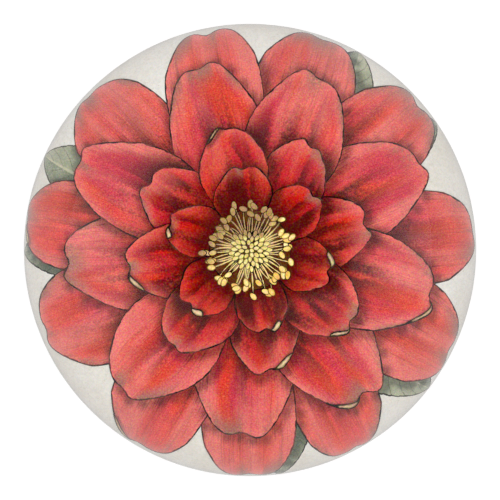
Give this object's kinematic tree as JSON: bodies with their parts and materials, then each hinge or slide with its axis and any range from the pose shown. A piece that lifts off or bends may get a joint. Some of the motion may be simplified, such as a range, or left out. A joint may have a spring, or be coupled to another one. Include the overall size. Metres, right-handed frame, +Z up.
{
  "type": "domed glass paperweight",
  "caption": "Round solid glass dome on a flat base, magnifying a printed flower picture glued beneath it, with a felt pad underneath.",
  "frame": {"origin": "centre of the felt's underside, on the surface the paperweight stands on", "axes": "+Z up along the dome's axis, +Y towards the top of the printed picture, +X towards its right"},
  "size_m": [0.0888, 0.0888, 0.0381],
  "materials": {
    "clear_glass": "polished",
    "print_paper": "matt printed",
    "base_felt": "napped"
  },
  "bodies": {
    "root": {"glass_dome": "clear_glass", "printed_paper": "print_paper", "felt_base": "base_felt"}
  },
  "joints": []
}
